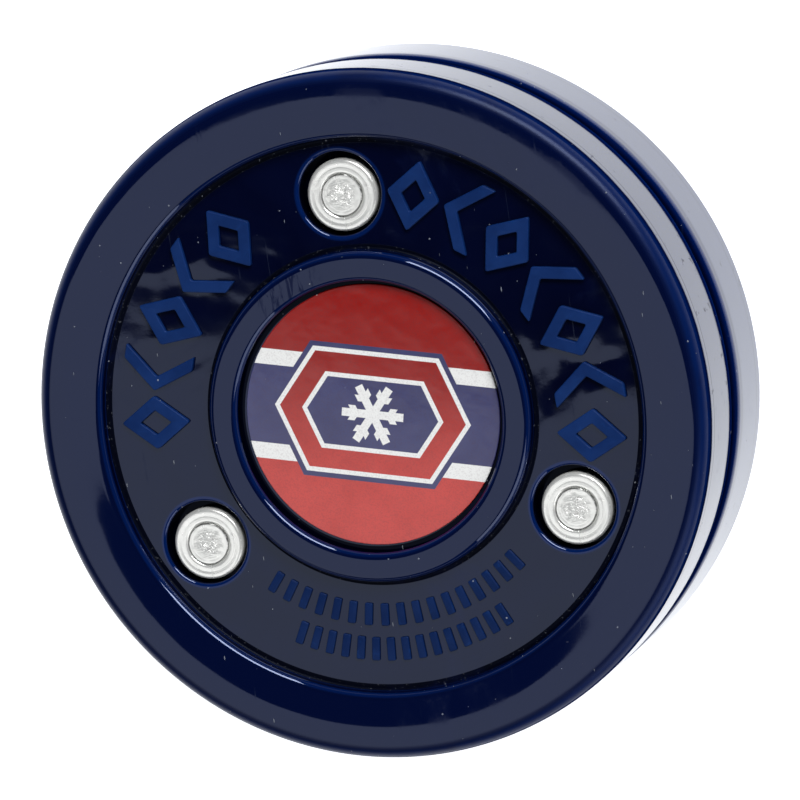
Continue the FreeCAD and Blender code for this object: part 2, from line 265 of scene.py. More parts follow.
def make_half(name, facing_down):
    """One moulded half without its raised marks."""
    half = to_object(spin(half_profile()), name)
    cutters = [bore_cutter(number) for number in range(3)]
    for cutter in cutters:
        modifier = half.modifiers.new("bore", "BOOLEAN")
        modifier.operation = "DIFFERENCE"
        modifier.solver = "EXACT"
        modifier.object = cutter
    apply_modifiers(half)
    for cutter in cutters:
        bpy.data.objects.remove(cutter)
    shade(half.data)
    place_on_puck(half, facing_down)
    even_normals(half)
    apply_modifiers(half)
    return half


# ---------------------------------------------------------------- the raised marks
def rounded(outline, radius, steps=4):
    """An outline with each corner replaced by a short curve that starts a given way from it."""
    points = []
    for before, corner, after in zip(outline[-1:] + outline[:-1], outline, outline[1:] + outline[:1]):
        corner = Vector(corner)
        start = corner + (Vector(before) - corner).normalized() * radius
        end = corner + (Vector(after) - corner).normalized() * radius
        for step in range(steps + 1):
            share = step / steps
            points.append(start.lerp(corner, share).lerp(corner.lerp(end, share), share))
    return points


def diamond():
    """The outer and inner outlines of an open diamond, centred on its own middle."""
    wide, tall = MARK_WIDTH / 2, (MARK_OUTER - MARK_INNER) / 2
    side = math.hypot(wide, tall)
    in_wide, in_tall = wide - MARK_STROKE * side / tall, tall - MARK_STROKE * side / wide
    outer = [(0, -tall), (wide, 0), (0, tall), (-wide, 0)]
    inner = [(0, -in_tall), (in_wide, 0), (0, in_tall), (-in_wide, 0)]
    return [rounded(outer, 0.35 * MM), rounded(inner, 0.2 * MM)]


def chevron():
    """The outline of a chevron that points round the puck."""
    tall = (MARK_OUTER - MARK_INNER) / 2
    reach, band = MARK_WIDTH / 4, MARK_STROKE * 1.25 / 2
    outline = [(reach + band, -tall), (band - reach, 0), (reach + band, tall),
               (reach - band, tall), (-reach - band, 0), (reach - band, -tall)]
    return [rounded(outline, 0.25 * MM)]


def rib(inner, outer):
    """The outline of one short rib."""
    wide, tall = RIB_WIDTH / 2, (outer - inner) / 2
    return [rounded([(-wide, -tall), (wide, -tall), (wide, tall), (-wide, tall)], 0.2 * MM)]


def placed(outlines, radius, degrees):
    """Outlines moved out along +Y to a radius and then turned about the puck's axis."""
    turn = Matrix.Rotation(math.radians(degrees - 90), 2)
    return [[turn @ (Vector(point) + Vector((0, radius))) for point in outline] for outline in outlines]


def raised(name, outlines, height):
    """Solid shapes with softly rounded top edges, standing on the web."""
    soft = 0.12 * MM
    curve = bpy.data.curves.new(name, "CURVE")
    curve.dimensions = "2D"
    curve.fill_mode = "BOTH"
    curve.extrude = (height + SINK) / 2 - soft
    curve.bevel_depth = soft
    curve.bevel_resolution = 2
    curve.offset = -soft
    for outline in outlines:
        spline = curve.splines.new("POLY")
        spline.points.add(len(outline) - 1)
        spline.use_cyclic_u = True
        for point, place in zip(spline.points, outline):
            point.co = (place[0], place[1], 0.0, 1.0)
    maker = link(bpy.data.objects.new(name, curve))
    graph = bpy.context.evaluated_depsgraph_get()
    mesh = bpy.data.meshes.new_from_object(maker.evaluated_get(graph))
    bpy.data.objects.remove(maker)
    bm = bmesh.new()
    bm.from_mesh(mesh)
    bmesh.ops.remove_doubles(bm, verts=bm.verts, dist=0.002 * MM)
    bmesh.ops.translate(bm, verts=bm.verts, vec=(0, 0, WEB_LEVEL + (height - SINK) / 2))
    bm.to_mesh(mesh)
    bm.free()
    return mesh


def make_marks(name, facing_down):
    """The diamonds, chevrons and ribs of one half, as one object."""
    middle = (MARK_INNER + MARK_OUTER) / 2
    shapes = []
    for start, count in ((LONG_ARC_START, LONG_ARC_COUNT), (SHORT_ARC_START, SHORT_ARC_COUNT)):
        for place in range(count):
            shape = chevron() if place % 2 else diamond()
            shapes += placed(shape, middle, start + place * MARK_PITCH)
    ribs = []
    for inner, outer, step, count in RIB_ROWS:
        for place in range(count):
            degrees = RIB_MIDDLE + (place - (count - 1) / 2) * step
            ribs += placed(rib(inner, outer), (inner + outer) / 2, degrees)
    bm = bmesh.new()
    for outlines, height in ((shapes, MARK_HEIGHT), (ribs, RIB_HEIGHT)):
        bm.from_mesh(raised(name, outlines, height))
    marks = to_object(bm, name, 50.0)
    place_on_puck(marks, facing_down)
    even_normals(marks)
    apply_modifiers(marks)
    return marks


def make_shell(name, facing_down, materials):
    """One half with its marks: the moulding first, the marks as its second material."""
    half = make_half(name + "_half_moulding", facing_down)
    marks = make_marks(name + "_marks", facing_down)
    for polygon in marks.data.polygons:
        polygon.material_index = 1
    bm = bmesh.new()
    bm.from_mesh(half.data)
    bm.from_mesh(marks.data)
    bm.to_mesh(half.data)
    bm.free()
    bpy.data.objects.remove(marks)
    for material in materials:
        half.data.materials.append(material)
    even_normals(half)
    return half


# ---------------------------------------------------------------- labels and rivets
def middle_of(node):
    """The middle of a CAD node's box."""
    low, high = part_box(node)
    return (low + high) / 2


def make_label(name, node, material):
    """A printed disc with its own frame: origin in its middle, +Y up the print, +Z out of it."""
    low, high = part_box(node)
    radius, thickness = (high.x - low.x) / 2 - LABEL_SHIFT.length, high.z - low.z
    edge = LABEL_EDGE_ROUND
    points = [(0.0, 0.0), (radius - edge, 0.0), (radius, edge)]
    points += arc(radius - edge, thickness - edge, edge, 0, 90, 4)
    points += [(0.0, thickness)]
    label = to_object(spin(points, 180), name)
    facing_down = low.z < PUCK_CENTRE_HEIGHT
    turn = Matrix.Rotation(math.radians(LABEL_TURN), 4, "Z")
    if facing_down:
        turn = Matrix.Rotation(math.pi, 4, "Y") @ turn
    base = high.z if facing_down else low.z
    label.matrix_world = Matrix.Translation((LABEL_SHIFT.x, LABEL_SHIFT.y, base)) @ turn
    label.data.materials.append(material)
    even_normals(label)
    return label


def roughen(obj, axis_place, level, reach, depth, grain, seed):
    """Hammer marks: push the end face of a turned piece in and out near its middle."""
    for vertex in obj.data.vertices:
        place = vertex.co
        if place.z < level - 2 * depth:
            continue
        radius = (place.xy - axis_place.xy).length
        share = max(0.0, 1 - radius / reach)
        pick = Vector((place.x * grain, place.y * grain, seed))
        place.z += depth * min(1.0, 2 * share) * (noise.noise(pick) - 0.6)
    obj.data.update()


def end_rings(radius, level, count):
    """Profile points across a flat end, from its edge to the axis."""
    return [(radius * (1 - step / count), level) for step in range(count)] + [(0.0, level)]


def make_rivet(name, node, seed, material):
    """A rivet in its own frame, the domed head at the back and the hammered end at the front."""
    low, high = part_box(node)
    centre = middle_of(node)
    head_top = low.z + HEAD_THICKNESS
    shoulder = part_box(node.replace("rivet", "washer"))[0].z
    head = (high.x - low.x) / 2
    points = [(radius, height) for radius, height in reversed(end_rings(head - HEAD_ROUND, low.z, 16))]
    points += arc(head - HEAD_ROUND, low.z + HEAD_ROUND, HEAD_ROUND, -90, 0, 8)
    points += arc(head - HEAD_BACK_ROUND, head_top - HEAD_BACK_ROUND, HEAD_BACK_ROUND, 0, 90, 4)
    points += [
        (SHANK_RADIUS, head_top),
        (SHANK_RADIUS, shoulder - FIT_GAP),
        (TENON_RADIUS, shoulder - FIT_GAP),
        (TENON_RADIUS, high.z - PEEN_LIP),
        (PEEN_RADIUS, high.z - PEEN_LIP),
    ]
    points += arc(PEEN_RADIUS - PEEN_ROUND, high.z - PEEN_ROUND, PEEN_ROUND, 0, 90, 4)
    points += end_rings(PEEN_RADIUS - PEEN_ROUND, high.z, 30)[1:]
    rivet = to_object(spin(points, 128), name)
    for vertex in rivet.data.vertices:
        radius = vertex.co.xy.length
        if vertex.co.z > high.z - PEEN_ROUND and radius < PEEN_RADIUS:
            vertex.co.z -= PEEN_DISH * (radius / PEEN_RADIUS) ** 4
    roughen(rivet, Vector((0, 0, 0)), high.z - PEEN_ROUND, 0.9 * PEEN_RADIUS, 0.07 * MM, 1700, seed)
    rivet.data.transform(Matrix.Translation((0, 0, -centre.z)))
    rivet.matrix_world = Matrix.Translation(centre)
    rivet.data.materials.append(material)
    even_normals(rivet)
    return rivet


def make_washer(name, node, material):
    """The pressed ring round the hammered end, with a stepped face."""
    low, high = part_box(node)
    centre = middle_of(node)
    outer = (high.x - low.x) / 2
    thickness = high.z - low.z
    bore = TENON_RADIUS + FIT_GAP
    top = thickness / 2
    points = [(bore, -top), (outer - HEAD_BACK_ROUND, -top)]
    points += arc(outer - HEAD_BACK_ROUND, HEAD_BACK_ROUND - top, HEAD_BACK_ROUND, -90, 0, 4)
    points += arc(outer - HEAD_ROUND, top - HEAD_ROUND, HEAD_ROUND, 0, 90, 8)
    points += [
        (WASHER_STEP + 0.12 * MM, top),
        (WASHER_STEP, top - 0.03 * MM),
        (WASHER_STEP - 0.12 * MM, top - 0.03 * MM),
        (WASHER_STEP - 0.3 * MM, top - 0.01 * MM),
        (PEEN_RADIUS + 0.32 * MM, top - 0.01 * MM),
        (PEEN_RADIUS + 0.24 * MM, top - 0.03 * MM),
        (PEEN_RADIUS, top - WASHER_SINK),
        (bore, top - WASHER_SINK),
    ]
    bm = bmesh.new()
    rings = []
    for radius, height in points:
        ring = []
        for step in range(128):
            angle = 2 * math.pi * step / 128
            ring.append(bm.verts.new((radius * math.cos(angle), radius * math.sin(angle), height)))
        rings.append(ring)
    for low_ring, high_ring in zip(rings, rings[1:] + rings[:1]):
        for step in range(128):
            after = (step + 1) % 128
            bm.faces.new((low_ring[step], low_ring[after], high_ring[after], high_ring[step]))
    bmesh.ops.recalc_face_normals(bm, faces=bm.faces)
    washer = to_object(bm, name)
    washer.matrix_world = Matrix.Translation(centre)
    washer.data.materials.append(material)
    even_normals(washer)
    return washer


LABEL_TURN = -11.6
LABEL_SHIFT = Vector((0.24, 0.14)) * MM   # the label is stuck on a little off centre
LABEL_EDGE_ROUND = 0.1 * MM
HEAD_THICKNESS = 1.9 * MM
HEAD_ROUND = 0.45 * MM
HEAD_BACK_ROUND = 0.15 * MM
SHANK_RADIUS = 2.5 * MM
TENON_RADIUS = 2.1 * MM
FIT_GAP = 0.01 * MM
PEEN_RADIUS = 2.3 * MM
PEEN_LIP = 0.1 * MM
PEEN_ROUND = 0.09 * MM
PEEN_DISH = 0.03 * MM
WASHER_STEP = 3.2 * MM
WASHER_SINK = 0.22 * MM


# ---------------------------------------------------------------- node building
class Field:
    """The output of a node, which can be added to, multiplied and compared like a number."""

    def __init__(self, graph, socket):
        self.graph = graph
        self.socket = socket

    def __add__(self, other):
        return self.graph.math("ADD", self, other)

    def __sub__(self, other):
        return self.graph.math("SUBTRACT", self, other)

    def __rsub__(self, other):
        return self.graph.math("SUBTRACT", other, self)

    def __mul__(self, other):
        return self.graph.math("MULTIPLY", self, other)

    def __abs__(self):
        return self.graph.math("ABSOLUTE", self)

    def least(self, other):
        return self.graph.math("MINIMUM", self, other)

    def most(self, other):
        return self.graph.math("MAXIMUM", self, other)

    def band(self, low, high, start=0.0, end=1.0):
        """A smooth step: start below the low value, end above the high one."""
        return self.graph.band(self, low, high, start, end)


class Graph:
    """Builds the nodes of one material."""

    def __init__(self, name):
        self.material = bpy.data.materials.new(name)
        self.material.use_nodes = True
        self.nodes = self.material.node_tree.nodes
        self.links = self.material.node_tree.links
        self.shader = self.nodes["Principled BSDF"]

    def put(self, value, socket):
        """Link a field to a socket, or set a constant on it."""
        if isinstance(value, Field):
            self.links.new(value.socket, socket)
        else:
            socket.default_value = value

    def set(self, **values):
        """Set the shader's inputs; underscores stand for spaces."""
        for name, value in values.items():
            self.put(value, self.shader.inputs[name.replace("_", " ")])

    def math(self, operation, first, second=0.0):
        node = self.nodes.new("ShaderNodeMath")
        node.operation = operation
        self.put(first, node.inputs[0])
        self.put(second, node.inputs[1])
        return Field(self, node.outputs[0])

    def band(self, value, low, high, start=0.0, end=1.0):
        node = self.nodes.new("ShaderNodeMapRange")
        node.interpolation_type = "SMOOTHSTEP"
        self.put(value, node.inputs["Value"])
        for name, number in (("From Min", low), ("From Max", high), ("To Min", start), ("To Max", end)):
            node.inputs[name].default_value = number
        return Field(self, node.outputs["Result"])

    def place(self, scale=(1, 1, 1), turn=0.0):
        """The piece's own coordinates, in metres, stretched and turned about Z."""
        source = self.nodes.new("ShaderNodeTexCoord")
        mapping = self.nodes.new("ShaderNodeMapping")
        self.links.new(source.outputs["Object"], mapping.inputs["Vector"])
        mapping.inputs["Scale"].default_value = scale
        mapping.inputs["Rotation"].default_value = (0, 0, math.radians(turn))
        return Field(self, mapping.outputs["Vector"])

    def split(self, place):
        """The three coordinates of a place."""
        node = self.nodes.new("ShaderNodeSeparateXYZ")
        self.links.new(place.socket, node.inputs[0])
        return [Field(self, output) for output in node.outputs]

    def join(self, across, up, out=0.0):
        """A place made from three coordinates."""
        node = self.nodes.new("ShaderNodeCombineXYZ")
        for value, socket in zip((across, up, out), node.inputs):
            self.put(value, socket)
        return Field(self, node.outputs[0])

    def radius(self, across, up):
        return self.math("SQRT", across * across + up * up)

    def noise(self, place, scale, detail=2.0, rough=0.5, distortion=0.0):
        node = self.nodes.new("ShaderNodeTexNoise")
        self.links.new(place.socket, node.inputs["Vector"])
        node.inputs["Scale"].default_value = scale
        node.inputs["Detail"].default_value = detail
        node.inputs["Roughness"].default_value = rough
        node.inputs["Distortion"].default_value = distortion
        return Field(self, node.outputs[0])

    def cells(self, place, scale, randomness=1.0):
        """The distance to the nearest of many scattered points, and a random value for each."""
        node = self.nodes.new("ShaderNodeTexVoronoi")
        self.links.new(place.socket, node.inputs["Vector"])
        node.inputs["Scale"].default_value = scale
        node.inputs["Randomness"].default_value = randomness
        tint = self.nodes.new("ShaderNodeSeparateColor")
        self.links.new(node.outputs["Color"], tint.inputs[0])
        return Field(self, node.outputs["Distance"]), Field(self, tint.outputs[0])

    def blend(self, share, first, second):
        """A colour between two others."""
        node = self.nodes.new("ShaderNodeMix")
        node.data_type = "RGBA"
        self.put(share, node.inputs[0])
        for value, socket in ((first, node.inputs[6]), (second, node.inputs[7])):
            self.put(value if isinstance(value, Field) else (*value, 1.0), socket)
        return Field(self, node.outputs[2])

    def bump(self, height, distance, below=None):
        """A surface pushed out by height times a distance in metres, over another one."""
        node = self.nodes.new("ShaderNodeBump")
        node.inputs["Distance"].default_value = distance
        self.put(height, node.inputs["Height"])
        if below:
            self.links.new(below.socket, node.inputs["Normal"])
        return Field(self, node.outputs[0])

    def own_normal(self):
        """The direction the surface faces, in the piece's own frame."""
        node = self.nodes.new("ShaderNodeTexCoord")
        return Field(self, node.outputs["Normal"])

    def turn_towards(self, share, normal):
        """The surface's own normal where share is zero, another one where it is one."""
        own = self.nodes.new("ShaderNodeNewGeometry")
        node = self.nodes.new("ShaderNodeMix")
        node.data_type = "VECTOR"
        self.put(share, node.inputs[0])
        self.links.new(own.outputs["Normal"], node.inputs[4])
        self.links.new(normal.socket, node.inputs[5])
        return Field(self, node.outputs[1])

    def specks(self, scale, size, share, squeeze=1.0, turn=0.0):
        """Small dots, scattered and few; a squeeze below one makes them long the way they turn."""
        distance, pick = self.cells(self.place((1, squeeze, 1), turn), scale)
        return distance.band(size, size * 0.6) * pick.band(1 - share, 1 - share + 0.01)

    def scratches(self, turn, scale, stretch, share):
        """Long fine lines that mostly run one way."""
        lines = self.noise(self.place((1, 1 / stretch, 1 / stretch), turn), scale, 1.0)
        broken = self.noise(self.place(), 160, 2.0)
        return lines.band(1 - share, 1 - share + 0.02) * broken.band(0.5, 0.62)


# ---------------------------------------------------------------- materials
def rivet_distance(graph, across, up, radius):
    """How far a place is from the nearest of the three rivet axes."""
    angle = graph.math("ARCTAN2", up, across) - math.pi / 2
    folded = graph.math("PINGPONG", angle, math.pi / 3)
    along = radius * graph.math("COSINE", folded) - RIVET_CIRCLE
    return graph.radius(along, radius * graph.math("SINE", folded))


def corner(radius, inner, outer):
    """One between two radii, zero outside them."""
    edge = 0.06 * MM
    return radius.band(inner - edge, inner) * radius.band(outer, outer + edge, 1.0, 0.0)


WARP_AZIMUTH = 72.0                   # the web leans a little this way from moulding shrinkage
WARP_ANGLE = 1.5


SCUFF_PLACE = Vector((-7.4, 15.2)) * MM   # a rubbed patch beside the first rivet
PLASTIC_GLEAM = (0.60, 0.70, 1.0, 1.0)


def gloss_navy():
    """Polished moulded plastic with sink waves, smudges, fine scratches and dust."""
    g = Graph("gloss_navy")
    here = g.place()
    across, up, out = g.split(here)
    radius = g.radius(across, up)
    in_web = radius.band(18.0 * MM, 18.8 * MM) * radius.band(30.4 * MM, 31.0 * MM, 1.0, 0.0)
    on_side = radius.band(37.9 * MM, 38.05 * MM)
    off_parting = abs(out - PUCK_CENTRE_HEIGHT)
    on_front = out.band(PUCK_CENTRE_HEIGHT, PUCK_CENTRE_HEIGHT + 1 * MM)
    torn = g.noise(g.place((1, 1, 2)), 420, 4.0, 0.65) - 0.5
    shoulder_line = off_parting + torn * (0.3 * MM)
    on_shoulder = shoulder_line.band(10.1 * MM, 10.7 * MM) * radius.band(37.8 * MM, 37.95 * MM)
    seam_line = off_parting + torn * (0.35 * MM)
    in_seam = seam_line.band(2.9 * MM, 3.8 * MM, 1.0, 0.0) * radius.band(33 * MM, 34 * MM)
    # Painted shade: the deepest part of the groove at the parting line.
    seam_crease_shade = off_parting.band(0.7 * MM, 1.2 * MM, 1.0, 0.0) * in_seam
    # Painted highlight: a brighter blue line along the rounding inside the groove.
    seam_gleam = abs(off_parting - 1.7 * MM).band(0.1 * MM, 0.6 * MM, 1.0, 0.0) * in_seam
    tool_mark = abs(off_parting + torn * (0.15 * MM) - 9.55 * MM).band(0.04 * MM, 0.16 * MM, 1.0, 0.0)
    worn_edge = radius.band(36.4 * MM, 36.9 * MM) * off_parting.band(10.5 * MM, 11.2 * MM)
    from_rivet = rivet_distance(g, across, up, radius)
    from_scuff = g.radius(across - SCUFF_PLACE.x, up - SCUFF_PLACE.y)
    strokes = g.noise(g.place((1, 0.25, 1), 28), 1500, 4.0, 0.7, 0.8)
    scuffed = strokes.band(0.5, 0.62) * from_scuff.band(1.5 * MM, 5.5 * MM, 1.0, 0.0)
    # Painted glow: a brighter blue ring painted round each pocket lip.
    glow = from_rivet.band(5.0 * MM, 5.3 * MM, 1.0, 0.0) * from_rivet.band(4.55 * MM, 4.65 * MM)
    # Painted shade: the rivet pockets, the corners at the foot of the walls and the gap round the label are
    # painted near black and reflect less.
    in_pocket = from_rivet.band(4.62 * MM, 4.75 * MM, 1.0, 0.0)
    at_root = corner(radius, 30.0 * MM, 30.62 * MM).most(corner(radius, 18.36 * MM, 18.85 * MM))
    shaded_hollows = in_pocket.most(at_root).most(corner(radius, 14.5 * MM, 15.02 * MM))
    on_rim = radius.band(30.9 * MM, 31.6 * MM)
    on_boss = radius.band(17.8 * MM, 18.2 * MM, 1.0, 0.0)
    flatness = abs(g.split(g.own_normal())[2])
    on_edge = flatness.band(0.8, 0.985, 1.0, 0.0) * flatness.band(0.05, 0.4)

    flow = g.noise(here, 60, 3.0, 0.6, 0.8)
    smudge = g.noise(here, 38, 5.0, 0.65, 1.6).band(0.54, 0.68)
    haze = g.noise(here, 420, 4.0, 0.7).band(0.5, 0.72)
    flecks = g.specks(700, 0.05, 0.6, 0.22, 40).most(g.specks(620, 0.045, 0.5, 0.25, -28))
    scattered = g.specks(480, 0.055, 0.55).most(g.specks(900, 0.05, 0.25)).most(flecks)
    settled = g.noise(here, 2400, 3.0, 0.7).band(0.62, 0.7) * at_root
    dust = scattered.most(settled * 0.35)
    lines = g.scratches(25, 2600, 60, 0.29).most(g.scratches(-52, 2200, 70, 0.28))
    flaw = g.noise(here, 520, 4.0, 0.65)
    nicks = flaw.band(0.645, 0.68) * on_side

    core = g.blend(flow.band(0.35, 0.65), (0.0002, 0.0008, 0.010), (0.0004, 0.0014, 0.014))
    # Painted sheen: the rim and boss tops painted a lighter blue than the web of the same plastic.
    face = g.blend(on_rim.most(on_boss), core, (0.0004, 0.0026, 0.024))
    # Painted glow: rounded edges painted a brighter blue, standing in for light shining through the thin
    # plastic.
    edge_glow_painted = g.blend(on_edge, face, (0.0004, 0.0068, 0.052))
    # Painted shade: the groove between the halves painted a dimmer blue over the painted edge glow.
    seam_painted_dimmer = g.blend(in_seam, edge_glow_painted, (0.0003, 0.0036, 0.034))
    # Painted highlights: the pocket lips and the line in the groove painted a bright blue.
    glowing = g.blend(glow.most(seam_gleam), seam_painted_dimmer, (0.0006, 0.0090, 0.066))
    # Painted shade: near black in the hollows and in the groove's crease.
    with_painted_shade = g.blend(shaded_hollows.most(seam_crease_shade * 0.85), glowing, (0.0002, 0.0006, 0.004))
    worn = g.blend(smudge * 0.6, with_painted_shade, (0.0012, 0.0036, 0.028))
    scraped = g.blend(lines * 0.12, worn, (0.01, 0.016, 0.045))
    g.set(
        Base_Color=g.blend(dust * 0.6, scraped, (0.28, 0.30, 0.34)),
        Roughness=(smudge * 0.07 + haze * smudge * 0.16 + flow * 0.06 + 0.01)
        .most(dust * 0.7)
        .most(lines * 0.12)
        .most(worn_edge * on_front * 0.3)
        .most(at_root * 0.4),
        Specular_IOR_Level=on_side * (1 - on_front) * 0.3
        + 0.5
        - (nicks * 0.42)
        .most(in_seam * 0.51)
        .most(on_shoulder * on_front * 0.5)
        .most(tool_mark * on_side * 0.44)
        .most(shaded_hollows * 0.44)
        .most(worn_edge * on_front * 0.36)
        .most(scuffed * 0.34),
        Specular_Tint=PLASTIC_GLEAM,
        IOR=1.55,
    )
    waves = g.noise(here, 95, 2.0, 0.4, 0.5) * (in_web * 0.85 + 0.15)
    ripple = g.noise(here, 420, 1.0, 0.4) * (in_web * 0.7 + 0.3)
    warp = across * math.cos(math.radians(WARP_AZIMUTH)) + up * math.sin(math.radians(WARP_AZIMUTH))
    warped = g.bump(warp, -math.tan(math.radians(WARP_ANGLE)))
    normal = g.bump(waves, 0.11 * MM, g.turn_towards(in_web, warped))
    normal = g.bump(ripple, 0.0035 * MM, normal)
    normal = g.bump(g.noise(here, 2600, 1.0), 0.00025 * MM, normal)
    normal = g.bump(lines, -0.0004 * MM, normal)
    g.set(Normal=g.bump(dust, 0.03 * MM, normal))
    return g.material


def frosted_navy():
    """The spark-textured tops of the raised marks."""
    g = Graph("frosted_navy")
    here = g.place()
    patches = g.noise(here, 240, 4.0, 0.6)
    grain = g.noise(here, 5200, 3.0, 0.6)
    rubbed = g.noise(here, 900, 3.0, 0.7, 1.0).band(0.56, 0.72)
    dust = g.specks(560, 0.07, 0.4)
    body = g.blend(patches.band(0.35, 0.65), (0.0010, 0.0150, 0.085), (0.0020, 0.0210, 0.110))
    # Painted shade: the ribs at the foot of the web painted darker than the other marks.
    on_ribs = g.split(here)[1].band(-14 * MM, -12 * MM, 1.0, 0.0)
    ribs_painted_darker = g.blend(on_ribs * 0.55, body, (0.0006, 0.0070, 0.040))
    shiny = g.blend(rubbed * 0.5, ribs_painted_darker, (0.003, 0.030, 0.14))
    g.set(
        Base_Color=g.blend(dust * 0.7, shiny, (0.30, 0.32, 0.36)),
        Roughness=(0.46 - rubbed * 0.12 + patches * 0.06).most(dust * 0.8),
        Specular_IOR_Level=patches * 0.2 + 0.12,
        Specular_Tint=PLASTIC_GLEAM,
        IOR=1.5,
    )
    normal = g.bump(patches, 0.01 * MM)
    g.set(Normal=g.bump(grain, 0.009 * MM, normal))
    return g.material


def plated_steel(name, mark_radius, pitted):
    """Bright plated steel: turned rings, a crease painted dark, partly dirt and partly painted shade, and,
    on hammered ends, strokes and pits.
    """
    g = Graph(name)
    here = g.place()
    across, up, out = g.split(here)
    radius = g.radius(across, up)
    rings = g.noise(g.join(radius, 0.0, out), 5200, 3.0, 0.65)
    arcs = g.noise(here, 420, 2.0, 0.5).band(0.45, 0.58)
    mottle = g.noise(here, 1100, 4.0, 0.65)
    strokes = g.noise(g.place((1, 2.6, 1), 38), 900, 4.0, 0.6, 2.2)
    middle = radius.band(0.7 * MM, 1.9 * MM, 1.0, 0.0)
    crease = abs(radius - mark_radius).band(0.05 * MM, 0.17 * MM, 1.0, 0.0)
    # The crease is painted near black: partly dirt, partly painted shade where the parts meet.
    crease_dirt_and_shade = crease * mottle.band(0.32, 0.5)
    scuff = g.scratches(35, 2200, 14, 0.36)
    cut = (rings.band(0.52, 0.68) * arcs * 0.4).most(strokes.band(0.56, 0.66) * middle * pitted * 0.4)
    bright = g.blend(mottle.band(0.35, 0.68), (0.91, 0.92, 0.89), (1.0, 1.0, 0.97))
    dull = g.blend(cut.most(scuff * 0.15), bright, (0.30, 0.30, 0.28))
    g.set(
        Base_Color=g.blend(crease_dirt_and_shade * 0.9, dull, (0.06, 0.06, 0.06)),
        Metallic=mottle * 0.2 + 0.52,
        Roughness=mottle * 0.2 + rings * 0.12 + scuff * 0.1 + 0.08,
    )
    normal = g.bump(rings * (arcs * 0.8 + 0.2), 0.03 * MM)
    normal = g.bump(strokes * (middle * pitted + 0.08), 0.14 * MM, normal)
    g.set(Normal=g.bump(scuff, -0.004 * MM, normal))
    return g.material


def hexagon(across, up, wide, tall):
    """The distance outside a long hexagon with points at left and right."""
    slope = math.radians(HEXAGON_SLOPE)
    level = abs(up) - tall
    slant = abs(across) * math.cos(slope) + abs(up) * math.sin(slope) - wide * math.cos(slope)
    return level.most(slant)


def snowflake(graph, across, up, reach):
    """One inside a six-armed snowflake, zero outside."""
    angle = graph.math("ARCTAN2", up, across)
    folded = graph.math("PINGPONG", angle, math.pi / 6)
    radius = graph.radius(across, up)
    along = radius * graph.math("COSINE", folded)
    aside = radius * graph.math("SINE", folded)
    arm = (aside - ARM_WIDTH / 2).most(along - reach)
    turn = math.radians(60)
    shift = along - reach * 0.55
    barb_gap = abs(shift * math.sin(turn) - aside * math.cos(turn)) - BARB_WIDTH / 2
    barb = barb_gap.most(aside - reach * 0.24)
    return arm.least(barb)


def printed_vinyl():
    """The printed label: bands of red, white and navy with a plain hexagonal badge."""
    g = Graph("printed_vinyl")
    here = g.place((1 / MM, 1 / MM, 1 / MM))
    across, up, out = g.split(here)
    soft = 0.03

    def inside(distance, edge=0.0):
        return distance.band(edge - soft, edge + soft, 1.0, 0.0)

    tone = g.noise(here, 0.16, 3.0, 0.6)
    grain = g.noise(here, 5.5, 3.0, 0.7)
    # Painted shade and reflection: the red is painted darker towards the top of the print and lighter
    # towards the bottom.
    red_painted_shading = up.band(-11.0, 7.0, 1.0, 0.0) * (tone + 0.5)
    red = g.blend(red_painted_shading, (0.27, 0.0030, 0.0002), (0.54, 0.0440, 0.0360))
    navy = g.blend(tone.band(0.3, 0.7), (0.030, 0.032, 0.115), (0.038, 0.042, 0.140))
    white = g.blend(grain.band(0.3, 0.7), (0.80, 0.81, 0.80), (0.88, 0.88, 0.87))
    rows = abs(up)
    art = g.blend(inside(rows, 6.1), red, white)
    art = g.blend(inside(rows, 4.35), art, navy)
    badge = hexagon(across, up, 11.8, 7.5)
    for inset, colour in ((0.0, navy), (0.55, white), (1.05, red), (3.25, white), (3.75, navy)):
        art = g.blend(inside(badge, -inset), art, colour)
    flake = snowflake(g, across, up, 3.5)
    art = g.blend(inside(flake), art, white)
    speckled = g.blend(grain.band(0.42, 0.68) * 0.24, art, (0.05, 0.02, 0.03))
    dust = g.specks(430, 0.06, 0.4)
    handled = g.noise(here, 0.12, 5.0, 0.65, 1.2).band(0.5, 0.7)
    g.set(
        Base_Color=g.blend(dust * 0.8, speckled, (0.5, 0.5, 0.5)),
        Roughness=(handled * 0.04 + grain * 0.08 + 0.06).most(dust * 0.7),
        Specular_IOR_Level=handled * 0.08 + 0.75,
        IOR=1.5,
    )
    lean = math.radians(WARP_AZIMUTH - LABEL_TURN)
    warp = across * math.cos(lean) + up * math.sin(lean)
    warped = g.bump(warp, -math.tan(math.radians(WARP_ANGLE)) * MM)
    normal = g.bump(g.noise(here, 0.35, 2.0, 0.5), 0.012 * MM, warped)
    g.set(Normal=g.bump(grain, 0.0008 * MM, normal))
    return g.material


HEXAGON_SLOPE = 30.0
ARM_WIDTH = 0.9
BARB_WIDTH = 0.7


# ---------------------------------------------------------------- studio and camera
VIEW_TILT = 19.65                     # how far the camera leans off the puck's axis, degrees
VIEW_AZIMUTH = 23.9
IMAGE_LEAN = 31.0
VIEW_DISTANCE = 0.7
FRAME_WIDTH = 0.0869                  # what the picture spans at the front face, metres
AIM_RIGHT = 0.0036
AIM_UP = 0.0020


